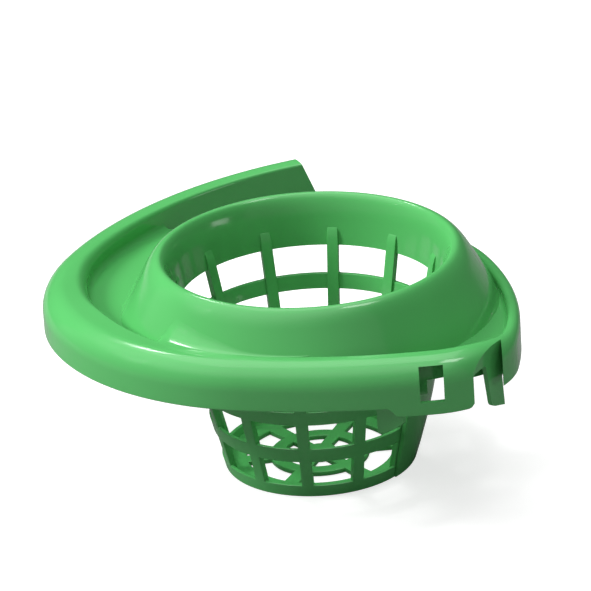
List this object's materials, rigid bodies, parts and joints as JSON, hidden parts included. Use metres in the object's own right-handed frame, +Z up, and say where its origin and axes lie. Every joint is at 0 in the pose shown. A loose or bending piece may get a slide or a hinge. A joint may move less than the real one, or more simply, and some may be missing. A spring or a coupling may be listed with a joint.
{
  "type": "mop bucket wringer insert",
  "caption": "Glossy plastic strainer insert for a mop bucket: a conical window-walled basket under a rolled lip, a sloping collar and a spiral channel rim with a latch window and hook.",
  "frame": {"origin": "centre of the basket's flat underside", "axes": "+Z up along the basket's axis, +Y towards the free arm of the rim, +X towards the hook side"},
  "size_m": [0.2626, 0.3174, 0.1262],
  "materials": {
    "green_plastic": "glossy injection-moulded polypropylene"
  },
  "bodies": {
    "root": {"rolled_lip": "green_plastic", "funnel_wall": "green_plastic", "collar": "green_plastic", "hoop_upper": "green_plastic", "hoop_middle": "green_plastic", "hoop_lower": "green_plastic", "base_band": "green_plastic", "grille_boss": "green_plastic", "grille_hoop": "green_plastic", "grille_spokes": "green_plastic", "grille_border": "green_plastic", "bar_01": "green_plastic", "bar_02": "green_plastic", "bar_03": "green_plastic", "bar_04": "green_plastic", "bar_05": "green_plastic", "bar_06": "green_plastic", "bar_07": "green_plastic", "bar_08": "green_plastic", "bar_09": "green_plastic", "bar_10": "green_plastic", "bar_11": "green_plastic", "bar_12": "green_plastic", "side_panel": "green_plastic", "rim_arm": "green_plastic", "rim_left": "green_plastic", "rim_front_left": "green_plastic", "rim_front": "green_plastic", "rim_corner": "green_plastic", "rim_right": "green_plastic", "rim_back": "green_plastic", "back_ledge": "green_plastic", "arm_end_wall": "green_plastic", "corner_end_wall": "green_plastic", "gutter_front_left": "green_plastic", "gutter_left": "green_plastic", "gutter_arm": "green_plastic", "gutter_front": "green_plastic", "gutter_corner": "green_plastic", "gutter_right": "green_plastic", "flange_front": "green_plastic", "flange_corner": "green_plastic", "latch_web": "green_plastic", "hook_finger": "green_plastic"}
  },
  "joints": []
}
